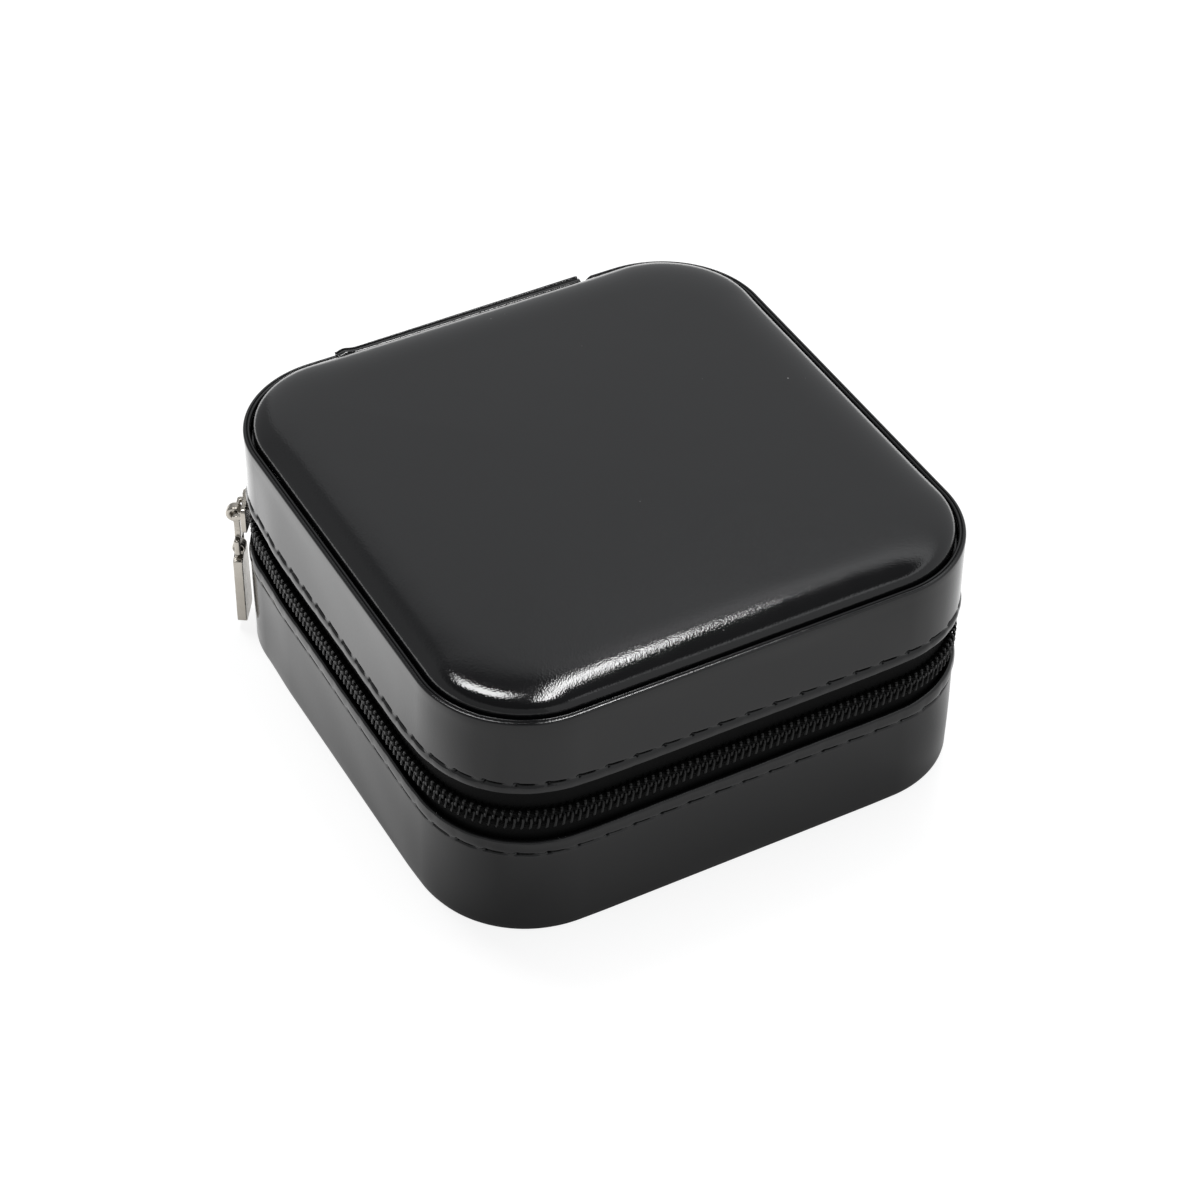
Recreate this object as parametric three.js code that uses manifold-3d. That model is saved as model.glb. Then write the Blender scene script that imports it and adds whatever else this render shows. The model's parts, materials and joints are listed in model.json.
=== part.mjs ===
// Zip-around travel jewellery case in glossy leather, closed.
// Millimetres, +Z up. Origin: centre of the case's outline, on the table. The hinge is at +Y, the front at -Y.
import * as THREE from "three";
import { mergeVertices } from "three/addons/utils/BufferGeometryUtils.js";
import Module from "manifold-3d";

const wasm = await Module();
wasm.setup();

// ---- Driving dimensions ----
const WIDTH = 100;
const DEPTH = 101.8;
const CORNER_R = 19.2;
const CORNER_STEPS = 10;

const BASE_TOP = 20.8; // upper edge of the base's wall
const LID_BOTTOM = 31.6; // lower edge of the lid's wall
const RIM_TOP = 47;
const PAD_TOP = 50; // crown of the padded top

// Layers of the wall, as distances in from the outline.
const LEATHER = 0.9;
const RIM_WIDTH = 1.3;
const TAPE = { from: 1.5, to: 2, reach: { lower: 10.5, upper: 11.9 } }; // reach: from the zip's centre line
const BOARD = { from: 2.1, to: 4.1 };
const LINING = { from: 4.25, to: 5 };
const ROOM = LINING.to + 0.2; // loose pieces inside stay this far in
const LAYER_GAP = 0.1;
const BOARD_SETBACK = 0.6; // the boards stop short of the leather's turned edges
const TURNED_EDGE = 0.5; // radius of the leather's turned edges, cut as a bevel

// Base floor, bottom up.
const SKIN = 0.8;
const TURN_UNDER = 6; // how far the wall leather is turned under the bottom
const BASE_BOARD = { from: SKIN + LAYER_GAP, to: 2.9 };
const BASE_FLOOR = 3.8; // upper face of the velvet floor
const BASE_COLLAR = 24.5; // the velvet lining stands above the wall, behind the zip

// Lid roof, bottom up.
const LID_CEILING = 42.6;
const LID_LIP = 31.2;
const ROOF_BOARD = { from: 43.5, to: 44.9 };
// The padded top: its side stands to the shoulder's foot, then it rises over the shoulder's reach.
const PAD = { inset: 2.8, bottom: 45, foot: 47.6, reach: 9, leather: 0.8 };
const PAD_CROWN = { inset: 17, center: 18.9, rise: 0.4 }; // how far in the low dome starts, and its height

// Zip.
const ZIP_Z = 25.5;
const COIL = { inner: 0.4, outer: 2.7, depth: 1.4 };
const STOP_LENGTH = 1.6;
const STOP_GAP = 0.3; // coil to stop
const ZIP_END_GAP = { left: 1, right: 1.6 }; // stops to the hinge strip
const TAPE_TUCK = 4; // the tapes' ends run on under the hinge strip

// Leather hinge at the back.
const HINGE = { left: -25.4, right: 23.4, proud: 0.9, inner: 0.6, bottom: 1.2, top: 47.2 };
const HINGE_Z = 26.2;
const HINGE_Y = DEPTH / 2 + (HINGE.proud - HINGE.inner) / 2;
const HINGE_FOLD_GAP = 1.4; // the strip's two halves stop this far from the fold's axis
const CUT_END_GAP = 1; // wall leather to the strip's cut right end
const TUCKED_END_GAP = 0.3;

// Slider and pull, in the slider's own frame: x along the zip, y out from the wall, z up.
const SLIDER_TURN = 33.5; // degrees round the back left corner, from the left side
const SLIDER = { length: 6.8, wide: 3.3, narrow: 2.6, corner: 1.5, front: [0.5, 1.4], back: [-3.8, -2.8] };
const WEB = { from: 0.5, to: 2.4, half: 0.2 }; // the wall between the two rows of teeth
const SHOULDER = { from: 1.9, half: 2.3, out: 1.95 }; // raised block at the slider's wide end
const CROWN = { axis: 2.8, bar: 0.38, from: -2.3, to: 3.3, foot: 0.8 };
// The pull's eye: an off-centre ring, thickest away from the wall, with its circles set from the crown's axis.
const EYE = { width: 2, rim: { radius: 1.6, y: 0.3, z: -0.5 }, hole: { radius: 0.75, y: 0.08, z: -0.28 } };
const LINK = { thick: 1.1, fork: -6, bar: 0.5, arm: [1.4, 2.3] }; // fork: where the shank splits into two arms
const PIN = { y: 2.75, z: -8.3, radius: 0.5 };
const KNUCKLE = { radius: 1.25, bore: 0.75, width: 2.2 };
const TAB = { width: 6.2, thick: 1.7, bottom: 1.5, corner: 1, neck: 0.6 };

// Inside.
const ROLL_COUNT = 6;
const ROLL = { pitch: 14.9, width: 14.2, top: 18, front: 3, back: 45 };
const PARTITION = { y: 0.6, thick: 1.8, top: 20 };
const DIVIDER = { x: 14.5, thick: 1.8, top: 19 };
const FLOOR_GAP = 0.2;
const NECKLACE = { pitch: 24, width: 10, sewn: -38, length: 22, thick: 0.9, snap: 16 };
const POCKET = { width: 72, front: 4, back: 38, bottom: 38.6, skin: 0.8, elastic: 3.2 };

// ---- Materials ----
const finish = (color, roughness, metalness = 0) => new THREE.MeshStandardMaterial({ color, roughness, metalness });
const GLOSS_LEATHER = finish(0x0b0b0c, 0.18);
const VELVET = finish(0x141414, 0.95);
const BOARD_CARD = finish(0x6b5a45, 0.9);
const FOAM = finish(0xd8d4c8, 0.95);
const NYLON = finish(0x101010, 0.5);
const WEBBING = finish(0x0d0d0d, 0.85);
const NICKEL = finish(0xc9c4ba, 0.25, 1);

// ---- Shape helpers ----

// The case's outline moved in by inset, counter-clockwise from the right of the front right corner.
function outline(inset) {
  const points = [];
  const radius = CORNER_R - inset;
  const cx = WIDTH / 2 - CORNER_R;
  const cy = DEPTH / 2 - CORNER_R;
  for (let corner = 0; corner < 4; corner++) {
    const x = corner === 0 || corner === 3 ? cx : -cx;
    const y = corner < 2 ? cy : -cy;
    for (let step = 0; step <= CORNER_STEPS; step++) {
      const angle = ((corner + step / CORNER_STEPS) * Math.PI) / 2;
      points.push([x + radius * Math.cos(angle), y + radius * Math.sin(angle)]);
    }
  }
  return points;
}

function geometryOf(vertices, triangles) {
  const geometry = new THREE.BufferGeometry();
  geometry.setAttribute("position", new THREE.Float32BufferAttribute(vertices.flat(), 3));
  geometry.setIndex(triangles.flat());
  return geometry;
}

// A band of the case: a closed section of [inset, z] points, carried once round the outline.
// The section runs counter-clockwise seen with the inset to the right and z up.
function band(section) {
  const rings = section.map(([inset, z]) => outline(inset).map(([x, y]) => [x, y, z]));
  const count = rings[0].length;
  const triangles = [];
  rings.forEach((ring, row) => {
    const next = (row + 1) % rings.length;
    for (let i = 0; i < count; i++) {
      const j = (i + 1) % count;
      triangles.push([row * count + i, next * count + j, row * count + j]);
      triangles.push([row * count + i, next * count + i, next * count + j]);
    }
  });
  return geometryOf(rings.flat(), triangles);
}

// A solid of the case's outline: [inset, z] levels from the closed lower end to the closed upper end.
// A level list that turns back on itself makes a cup.
function stack(levels) {
  const rings = levels.map(([inset, z]) => outline(inset).map(([x, y]) => [x, y, z]));
  const count = rings[0].length;
  const vertices = rings.flat();
  const triangles = [];
  for (let row = 0; row + 1 < rings.length; row++) {
    for (let i = 0; i < count; i++) {
      const j = (i + 1) % count;
      triangles.push([row * count + i, row * count + j, (row + 1) * count + j]);
      triangles.push([row * count + i, (row + 1) * count + j, (row + 1) * count + i]);
    }
  }
  const last = (rings.length - 1) * count;
  const low = vertices.push([0, 0, levels[0][1]]) - 1;
  const high = vertices.push([0, 0, levels.at(-1)[1]]) - 1;
  for (let i = 0; i < count; i++) {
    const j = (i + 1) % count;
    triangles.push([low, j, i]);
    triangles.push([high, last + i, last + j]);
  }
  return geometryOf(vertices, triangles);
}

const slab = (inset, low, high) => stack([[inset, low], [inset, high]]);

// A box between two corners.
function block([x0, y0, z0], [x1, y1, z1]) {
  const box = new THREE.BoxGeometry(x1 - x0, y1 - y0, z1 - z0);
  return box.translate((x0 + x1) / 2, (y0 + y1) / 2, (z0 + z1) / 2);
}

// A cylinder along x, centred on x = 0.
function rod(radius, length, y, z, sides = 20) {
  return new THREE.CylinderGeometry(radius, radius, length, sides).rotateZ(Math.PI / 2).translate(0, y, z);
}

// A disc with its axis along z.
function disc(radius, low, high, x, y) {
  const shape = new THREE.CylinderGeometry(radius, radius, high - low, 20).rotateX(Math.PI / 2);
  return shape.translate(x, y, (low + high) / 2);
}

// ---- Booleans ----
function toManifold(geometry) {
  const bare = geometry.clone();
  bare.deleteAttribute("normal");
  bare.deleteAttribute("uv");
  const merged = mergeVertices(bare, 1e-4);
  return new wasm.Manifold(
    new wasm.Mesh({
      numProp: 3,
      vertProperties: new Float32Array(merged.attributes.position.array),
      triVerts: new Uint32Array(merged.index.array),
    }),
  );
}

function fromManifold(solid) {
  const { numProp, vertProperties, triVerts } = solid.getMesh();
  const geometry = new THREE.BufferGeometry();
  const positions = new Float32Array((vertProperties.length / numProp) * 3);
  for (let i = 0; i < positions.length / 3; i++) {
    positions.set(vertProperties.subarray(i * numProp, i * numProp + 3), i * 3);
  }
  geometry.setAttribute("position", new THREE.BufferAttribute(positions, 3));
  geometry.setIndex(new THREE.BufferAttribute(triVerts, 1));
  return geometry;
}

const combine = (how, first, others) =>
  fromManifold(others.reduce((solid, other) => solid[how](toManifold(other)), toManifold(first)));
const join = (first, ...others) => combine("add", first, others);
const cut = (first, ...others) => combine("subtract", first, others);
const common = (first, ...others) => combine("intersect", first, others);

// ---- Scene ----
const jewelleryCase = new THREE.Group();

function part(name, geometry, material, parent = jewelleryCase) {
  const mesh = new THREE.Mesh(geometry, material);
  mesh.name = name;
  parent.add(mesh);
  return mesh;
}

// A gap in a band, across the back: a block deeper and taller than any band.
const backGap = (left, right) => block([left, 0, -1], [right, DEPTH, PAD_TOP + 1]);

// Where the hinge strip takes the place of the wall leather, above the turned-under edge.
const hingeRecess = block(
  [HINGE.left - TUCKED_END_GAP, DEPTH / 2 - RIM_WIDTH - LAYER_GAP, HINGE.bottom - 0.2],
  [HINGE.right + CUT_END_GAP, DEPTH, PAD_TOP + 1],
);

// A band of rectangular section, between two distances in from the outline and two heights.
const ring = ([from, to], [low, high]) =>
  band([
    [from, low],
    [to, low],
    [to, high],
    [from, high],
  ]);

function baseShell() {
  const edge = TURNED_EDGE;
  const wall = band([
    [edge, 0],
    [TURN_UNDER, 0],
    [TURN_UNDER, SKIN],
    [LEATHER, SKIN],
    [LEATHER, BASE_TOP],
    [edge, BASE_TOP],
    [0, BASE_TOP - edge],
    [0, edge],
  ]);
  part("base_wall_leather", cut(wall, hingeRecess), GLOSS_LEATHER);
  part("base_bottom_cover", slab(TURN_UNDER + LAYER_GAP, 0, SKIN), GLOSS_LEATHER);
  part("base_bottom_board", slab(LEATHER + LAYER_GAP, BASE_BOARD.from, BASE_BOARD.to), BOARD_CARD);
  const low = BASE_BOARD.to + LAYER_GAP;
  part("base_wall_board", ring([BOARD.from, BOARD.to], [low, BASE_TOP - BOARD_SETBACK]), BOARD_CARD);
  part(
    "base_lining",
    stack([
      [LINING.from, low],
      [LINING.from, BASE_COLLAR],
      [LINING.to, BASE_COLLAR],
      [LINING.to, BASE_FLOOR],
    ]),
    VELVET,
  );
}

function lidShell() {
  const edge = TURNED_EDGE;
  const rimUnder = ROOF_BOARD.to + 0.3;
  const rimBevel = 0.3;
  const wall = band([
    [edge, LID_BOTTOM],
    [LEATHER, LID_BOTTOM],
    [LEATHER, rimUnder - 0.4],
    [RIM_WIDTH, rimUnder],
    [RIM_WIDTH, RIM_TOP - rimBevel],
    [RIM_WIDTH - rimBevel, RIM_TOP],
    [rimBevel, RIM_TOP],
    [0, RIM_TOP - rimBevel],
    [0, LID_BOTTOM + edge],
  ]);
  part("lid_wall_leather", cut(wall, hingeRecess), GLOSS_LEATHER);
  part("lid_top_board", slab(RIM_WIDTH + 0.2, ROOF_BOARD.from, ROOF_BOARD.to), BOARD_CARD);
  const high = ROOF_BOARD.from - LAYER_GAP;
  part("lid_wall_board", ring([BOARD.from, BOARD.to], [LID_BOTTOM + BOARD_SETBACK, high]), BOARD_CARD);
  part(
    "lid_lining",
    stack([
      [LINING.to, LID_CEILING],
      [LINING.to, LID_LIP],
      [LINING.from, LID_LIP],
      [LINING.from, high],
    ]),
    VELVET,
  );
}

// Levels of the padded top's crowned surface, moved in and down by depth.
function crown(depth) {
  const foot = PAD.foot - depth / 2;
  const levels = [[PAD.inset + depth, foot]];
  const steps = 5;
  for (let step = 1; step <= steps; step++) {
    const angle = ((step / steps) * Math.PI) / 2;
    const inset = PAD.inset + depth + (PAD.reach - depth) * (1 - Math.cos(angle));
    levels.push([inset, foot + (PAD_TOP - PAD_CROWN.rise - depth - foot) * Math.sin(angle)]);
  }
  levels.push([PAD_CROWN.inset, PAD_TOP - PAD_CROWN.rise / 3 - depth], [PAD_CROWN.center, PAD_TOP - depth]);
  return levels;
}

function lidPad() {
  const outer = crown(0);
  const inner = crown(PAD.leather).reverse();
  const turned = PAD.bottom;
  part(
    "lid_pad_leather",
    stack([...inner, [PAD.inset + PAD.leather, turned], [PAD.inset, turned], ...outer]),
    GLOSS_LEATHER,
  );
  const foam = crown(PAD.leather + 0.3);
  part("lid_pad_foam", stack([[PAD.inset + PAD.leather + 0.3, turned], ...foam]), FOAM);
}

function zip() {
  const ends = [HINGE.left - ZIP_END_GAP.left, HINGE.right + ZIP_END_GAP.right]; // where the stops start
  for (const [side, sign] of [["lower", -1], ["upper", 1]]) {
    const z = (offset) => ZIP_Z + sign * offset;
    const span = (near, far) => [z(near), z(far)].sort((a, b) => a - b);
    const tape = ring([TAPE.from, TAPE.to], span(COIL.inner, TAPE.reach[side]));
    part("zipper_tape_" + side, cut(tape, backGap(ends[0] + TAPE_TUCK, ends[1] - TAPE_TUCK)), WEBBING);
    const coil = ring([0, COIL.depth], span(COIL.inner, COIL.outer));
    const coilGap = [ends[0] - STOP_LENGTH - STOP_GAP, ends[1] + STOP_LENGTH + STOP_GAP];
    part("zipper_coil_" + side, cut(coil, backGap(...coilGap)), NYLON);
    for (const [end, at] of [["left", ends[0] - STOP_LENGTH], ["right", ends[1]]]) {
      const [low, high] = span(COIL.inner, COIL.outer);
      const stop = block([at, DEPTH / 2 - COIL.depth, low], [at + STOP_LENGTH, DEPTH / 2, high]);
      part(`zipper_stop_${side}_${end}`, stop, NICKEL);
    }
  }
}

function hinge() {
  const inner = DEPTH / 2 - HINGE.inner;
  const outer = DEPTH / 2 + HINGE.proud;
  const strip = (low, high) => block([HINGE.left, inner, low], [HINGE.right, outer, high]);
  part("hinge_strip_lower", strip(HINGE.bottom, HINGE_Z - HINGE_FOLD_GAP), GLOSS_LEATHER);
  part("hinge_strip_upper", strip(HINGE_Z + HINGE_FOLD_GAP, HINGE.top), GLOSS_LEATHER);
  const fold = rod((outer - inner) / 2, HINGE.right - HINGE.left, HINGE_Y, HINGE_Z);
  part("hinge_fold", fold.translate((HINGE.left + HINGE.right) / 2, 0, 0), GLOSS_LEATHER);
}

// The slider's group sits on the corner of the outline, turned so that its y points out of the wall.
function slider() {
  const angle = THREE.MathUtils.degToRad(SLIDER_TURN);
  const group = new THREE.Group();
  const out = new THREE.Vector2(-Math.cos(angle), Math.sin(angle));
  group.position.set(
    -WIDTH / 2 + CORNER_R + out.x * CORNER_R,
    DEPTH / 2 - CORNER_R + out.y * CORNER_R,
    ZIP_Z,
  );
  // Local x runs forward along the zip, y out of the wall.
  group.rotation.z = Math.atan2(out.y, out.x) - Math.PI / 2;
  jewelleryCase.add(group);

  const half = SLIDER.length / 2;
  const face = ([from, to]) => {
    const shape = new THREE.Shape();
    // Narrow end towards -x of the group, where the zip is closed.
    const { narrow, wide, corner } = SLIDER;
    shape.moveTo(-half, -narrow);
    shape.lineTo(half - corner, -wide);
    shape.quadraticCurveTo(half, -wide, half, -wide + corner);
    shape.lineTo(half, wide - corner);
    shape.quadraticCurveTo(half, wide, half - corner, wide);
    shape.lineTo(-half, narrow);
    const solid = new THREE.ExtrudeGeometry(shape, { depth: to - from, bevelEnabled: false, curveSegments: 4 });
    return solid.rotateX(Math.PI / 2).translate(0, to, 0);
  };
  const sunk = 0.2; // how far joined pieces reach into each other
  const web = block([WEB.from, SLIDER.back[1] - sunk, -WEB.half], [WEB.to, SLIDER.front[0] + sunk, WEB.half]);
  const shoulder = block(
    [SHOULDER.from, SLIDER.front[1] - sunk, -SHOULDER.half],
    [half - 0.1, SHOULDER.out, SHOULDER.half],
  );
  const bar = rod(CROWN.bar, CROWN.to - CROWN.from, CROWN.axis, 0).translate((CROWN.from + CROWN.to) / 2, 0, 0);
  const feet = [CROWN.from, CROWN.to - CROWN.foot].map((x) =>
    block([x, SLIDER.front[1] - sunk, -CROWN.bar], [x + CROWN.foot, CROWN.axis, CROWN.bar]),
  );
  part("slider_body", join(face(SLIDER.front), face(SLIDER.back), web, shoulder, bar, ...feet), NICKEL, group);
  part("pull_link", pullLink(), NICKEL, group);
  part("pull_tab", pullTab(), NICKEL, group);
}

// The link between the crown and the tab: an eye, a shank, and two arms that hold the tab's pin.
function pullLink() {
  const circle = ({ radius, y, z }, length) => rod(radius, length, CROWN.axis + y, z, 32);
  const { rim, hole, width } = EYE;
  const [inner, outer] = [PIN.y - LINK.thick / 2, PIN.y + LINK.thick / 2];
  const [near, far] = LINK.arm;
  const shank = block([-width / 2, inner, LINK.fork], [width / 2, outer, rim.z - rim.radius + LINK.bar]);
  const bar = block([-far, inner, LINK.fork - LINK.bar], [far, outer, LINK.fork + LINK.bar]);
  const arms = [-1, 1].map((side) => {
    const [low, high] = [side * near, side * far].sort((a, b) => a - b);
    return block([low, inner, PIN.z - LINK.thick / 2], [high, outer, LINK.fork + LINK.bar]);
  });
  const pin = rod(PIN.radius, 2 * far, PIN.y, PIN.z);
  return join(cut(join(circle(rim, width), shank), circle(hole, 2 * width)), bar, ...arms, pin);
}

// The flat tab: a blade that narrows to a neck under a knuckle on the pin.
function pullTab() {
  const foot = TAB.bottom - ZIP_Z;
  const half = TAB.width / 2;
  const neck = KNUCKLE.width / 2;
  const top = PIN.z - 1;
  const slope = { x: 0.4, z: 1.5 };
  const shape = new THREE.Shape();
  shape.moveTo(-half + TAB.corner, foot);
  shape.lineTo(half - TAB.corner, foot);
  shape.quadraticCurveTo(half, foot, half, foot + TAB.corner);
  shape.lineTo(half - slope.x, top - slope.z);
  shape.lineTo(neck, top);
  shape.lineTo(neck, top + TAB.neck);
  shape.lineTo(-neck, top + TAB.neck);
  shape.lineTo(-neck, top);
  shape.lineTo(-half + slope.x, top - slope.z);
  shape.lineTo(-half, foot + TAB.corner);
  shape.quadraticCurveTo(-half, foot, -half + TAB.corner, foot);
  const blade = new THREE.ExtrudeGeometry(shape, { depth: TAB.thick, bevelEnabled: false, curveSegments: 4 });
  blade.rotateX(Math.PI / 2).translate(0, PIN.y + TAB.thick / 2, 0);
  const knuckle = rod(KNUCKLE.radius, KNUCKLE.width, PIN.y, PIN.z);
  const bore = rod(KNUCKLE.bore, 2 * KNUCKLE.width, PIN.y, PIN.z);
  return cut(join(blade, knuckle), bore);
}

function baseInside() {
  const room = slab(ROOM, BASE_FLOOR + FLOOR_GAP, BASE_COLLAR);
  for (let i = 0; i < ROLL_COUNT; i++) {
    const x = (i - (ROLL_COUNT - 1) / 2) * ROLL.pitch;
    const radius = ROLL.width / 2;
    const shape = new THREE.Shape();
    shape.moveTo(-radius, 0);
    shape.lineTo(radius, 0);
    shape.lineTo(radius, ROLL.top - radius);
    shape.absarc(0, ROLL.top - radius, radius, 0, Math.PI, false);
    const roll = new THREE.ExtrudeGeometry(shape, {
      depth: ROLL.back - ROLL.front,
      bevelEnabled: false,
      curveSegments: 12,
    });
    roll.rotateX(Math.PI / 2).translate(x, ROLL.back, 0);
    part("ring_roll_" + (i + 1), common(roll, room), VELVET);
  }
  const { y, thick, top } = PARTITION;
  const low = BASE_FLOOR + FLOOR_GAP;
  part("base_partition", common(block([-WIDTH, y, low], [WIDTH, y + thick, top]), room), VELVET);
  for (const [name, side] of [["left", -1], ["right", 1]]) {
    const x = side * DIVIDER.x;
    const wall = block(
      [x - DIVIDER.thick / 2, -DEPTH / 2 + ROOM + 0.2, low],
      [x + DIVIDER.thick / 2, y - 0.3, DIVIDER.top],
    );
    part("divider_" + name, wall, VELVET);
  }
}

function lidInside() {
  const stripLow = LID_CEILING - LAYER_GAP - 1;
  const tabTop = stripLow - 0.4;
  const tabLow = tabTop - NECKLACE.thick;
  const { sewn, length, width, pitch, snap } = NECKLACE;
  const stripHalf = pitch + width / 2 + 3;
  const strip = block([-stripHalf, sewn - 4, stripLow], [stripHalf, sewn + length + 1, LID_CEILING - LAYER_GAP]);
  part("necklace_strip", strip, GLOSS_LEATHER);
  ["left", "middle", "right"].forEach((name, i) => {
    const x = (i - 1) * pitch;
    const tab = block([x - width / 2, sewn, tabLow], [x + width / 2, sewn + length, tabTop]);
    part("necklace_tab_" + name, tab, GLOSS_LEATHER);
    part("snap_cap_" + name, disc(3.2, tabLow - 0.9, tabLow - LAYER_GAP, x, sewn + snap), NICKEL);
    part("snap_post_" + name, disc(2.2, tabTop + LAYER_GAP, stripLow - LAYER_GAP, x, sewn + snap), NICKEL);
  });

  const half = POCKET.width / 2;
  const high = LID_CEILING - LAYER_GAP;
  const pouch = block([-half, POCKET.front, POCKET.bottom], [half, POCKET.back, high]);
  const inside = block(
    [-half + POCKET.skin, POCKET.front - 1, POCKET.bottom + POCKET.skin],
    [half - POCKET.skin, POCKET.back - POCKET.skin, high + 1],
  );
  part("lid_pocket", cut(pouch, inside), VELVET);
  const { front, bottom, elastic } = POCKET;
  part("pocket_elastic", block([-half, front - 0.2 - elastic, bottom], [half, front - 0.2, bottom + 1.4]), WEBBING);
}

baseShell();
lidShell();
lidPad();
zip();
hinge();
slider();
baseInside();
lidInside();

export default jewelleryCase;
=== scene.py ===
"""Looks for a zip-around travel jewellery case in glossy black leather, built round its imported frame.

Lengths are in millimetres, in the frame's axes: +Z up, the hinge at +Y. add_piece() writes them as metres.
A section is a list of (inset, z) points: inset is the distance in from the case's outline, seen from above.
"""
import json
import math

import bpy
import numpy as np
from mathutils import Matrix, Vector


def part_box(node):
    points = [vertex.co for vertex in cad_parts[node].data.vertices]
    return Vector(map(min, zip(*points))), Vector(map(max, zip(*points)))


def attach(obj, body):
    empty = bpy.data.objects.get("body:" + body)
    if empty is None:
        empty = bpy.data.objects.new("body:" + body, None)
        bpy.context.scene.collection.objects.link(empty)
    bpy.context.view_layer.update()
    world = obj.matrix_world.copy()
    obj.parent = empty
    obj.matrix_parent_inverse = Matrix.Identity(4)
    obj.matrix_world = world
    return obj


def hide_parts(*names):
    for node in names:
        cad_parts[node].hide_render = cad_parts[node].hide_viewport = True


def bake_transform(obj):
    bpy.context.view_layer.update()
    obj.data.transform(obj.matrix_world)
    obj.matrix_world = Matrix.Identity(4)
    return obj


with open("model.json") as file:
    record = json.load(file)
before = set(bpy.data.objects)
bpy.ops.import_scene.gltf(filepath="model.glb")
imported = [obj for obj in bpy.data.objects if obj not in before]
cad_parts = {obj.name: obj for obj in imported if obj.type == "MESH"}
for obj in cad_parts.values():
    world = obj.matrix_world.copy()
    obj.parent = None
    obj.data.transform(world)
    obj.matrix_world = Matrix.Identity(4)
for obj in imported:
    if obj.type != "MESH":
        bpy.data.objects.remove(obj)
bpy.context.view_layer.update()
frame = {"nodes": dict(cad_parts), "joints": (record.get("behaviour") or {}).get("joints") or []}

MM = 0.001
JOINTS = {joint["name"]: joint for joint in frame["joints"]}


def node_box(node):
    low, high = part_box(node)
    return np.array(low) / MM, np.array(high) / MM


def joint_point(name):
    return np.array(JOINTS[name]["pos_m"]) / MM


def node_inset(node):
    """How far in from the case's left and right sides a node stands."""
    low, high = node_box(node)
    return (WIDTH - (high[0] - low[0])) / 2


# ---- Sizes, from the frame ----
BASE_LOW, BASE_HIGH = node_box("base_wall_leather")
LID_LOW, LID_HIGH = node_box("lid_wall_leather")
PAD_LOW, PAD_HIGH = node_box("lid_pad_leather")
STRIP_LOW = node_box("hinge_strip_lower")[0]
STRIP_HIGH = node_box("hinge_strip_upper")[1]
COIL_LOW = node_box("zipper_coil_lower")[0]
COIL_HIGH = node_box("zipper_coil_upper")[1]
LID_ROOF = node_box("lid_top_board")[1][2]

WIDTH = BASE_HIGH[0] - BASE_LOW[0]
DEPTH = 2 * BASE_HIGH[1]
CORNER = joint_point("slider_travel")  # centre of the back left corner's arc
RADIUS = WIDTH / 2 + CORNER[0]
BASE_TOP = BASE_HIGH[2]
LID_BOTTOM = LID_LOW[2]
RIM_TOP = LID_HIGH[2]
PAD_TOP = PAD_HIGH[2]
COVER_INSET = node_inset("lid_pad_leather") - 1.05  # the pad's leather swells out towards the rim
ZIP_Z = (COIL_LOW[2] + COIL_HIGH[2]) / 2
HINGE = joint_point("lid_hinge")

LEATHER = 0.9  # thickness of the wall's leather
RIM_WIDTH = 1.3
RIM_FOOT = LID_ROOF + 0.2  # where the rim stands on the lid's roof
TURN_UNDER = 6
CUT_END_GAP = 1
BASE_STITCH = BASE_TOP - 2.9
LID_STITCH = LID_BOTTOM + 2
STITCH = 5.15  # length of one stitch
STRIP_FIRST_HOLE = 1.2  # from the hinge strip's left end
SLANT = 0.3  # how far a stitch leans across its line, from one needle hole to the next
TOOTH = 1.37  # pitch of the zip's coil

STRAIGHT_X = WIDTH - 2 * RADIUS
STRAIGHT_Y = DEPTH - 2 * RADIUS
ARC = math.pi * RADIUS / 2
PERIMETER = 2 * (STRAIGHT_X + STRAIGHT_Y) + 4 * ARC
WALL_START = -STRIP_LOW[0] + 0.05  # where the walls' leather starts and ends, along the outline
WALL_END = PERIMETER - STRIP_HIGH[0] - CUT_END_GAP


def smooth_step(x):
    x = np.clip(x, 0, 1)
    return x * x * (3 - 2 * x)


# ---- The case's outline ----
def outline(s):
    """(points, outward directions) of the outline at distances s along it.

    The distances start at the middle of the back and run to the left.
    """
    s = np.mod(np.asarray(s, float), PERIMETER)
    x, y = STRAIGHT_X / 2, STRAIGHT_Y / 2
    runs = [
        ("line", STRAIGHT_X / 2, (0, DEPTH / 2), (-1, 0)),
        ("arc", ARC, (-x, y), 90),
        ("line", STRAIGHT_Y, (-WIDTH / 2, y), (0, -1)),
        ("arc", ARC, (-x, -y), 180),
        ("line", STRAIGHT_X, (-x, -DEPTH / 2), (1, 0)),
        ("arc", ARC, (x, -y), 270),
        ("line", STRAIGHT_Y, (WIDTH / 2, -y), (0, 1)),
        ("arc", ARC, (x, y), 0),
        ("line", STRAIGHT_X / 2, (x, DEPTH / 2), (-1, 0)),
    ]
    points = np.zeros(s.shape + (2,))
    out = np.zeros_like(points)
    begin = 0.0
    for kind, length, place, turn in runs:
        here = (s >= begin - 1e-9) & (s <= begin + length + 1e-9)
        t = s[here] - begin
        if kind == "line":
            points[here] = np.array(place) + t[:, None] * np.array(turn)
            out[here] = (turn[1], -turn[0])
        else:
            angle = math.radians(turn) + t / RADIUS
            away = np.stack([np.cos(angle), np.sin(angle)], 1)
            points[here] = np.array(place) + RADIUS * away
            out[here] = away
        begin += length
    return points, out


def steps(start, stop, size):
    """Evenly spaced distances from start to stop, about size apart."""
    return np.linspace(start, stop, max(2, int(round((stop - start) / size)) + 1))


def all_round(size):
    """Distances once round the outline, without the last, which is the first again."""
    return steps(0, PERIMETER, size)[:-1]


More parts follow.
